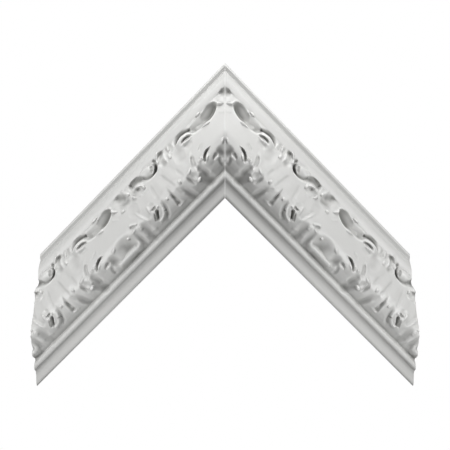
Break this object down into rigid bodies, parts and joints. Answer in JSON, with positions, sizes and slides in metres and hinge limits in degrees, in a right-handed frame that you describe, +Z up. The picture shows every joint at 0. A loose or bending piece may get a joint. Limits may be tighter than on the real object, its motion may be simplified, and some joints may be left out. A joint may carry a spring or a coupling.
{
  "type": "mitred cornice moulding corner",
  "caption": "Right-angled corner of white carved cornice moulding, with scrolls, leaves and a smooth shield on a swelling section between plain bands.",
  "frame": {"origin": "on the flat back, half way along the mitre line between the outer and the inner point of the corner", "axes": "+X to the right across both lengths, +Y out of the back into the wall, +Z up towards the outer point of the corner; the carved face looks along -Y"},
  "size_m": [0.41, 0.0458, 0.3463],
  "materials": {
    "white_casting": "rigid foam casting with a smooth white gloss lacquer"
  },
  "bodies": {
    "root": {"left_length": "white_casting", "right_length": "white_casting"}
  },
  "joints": []
}
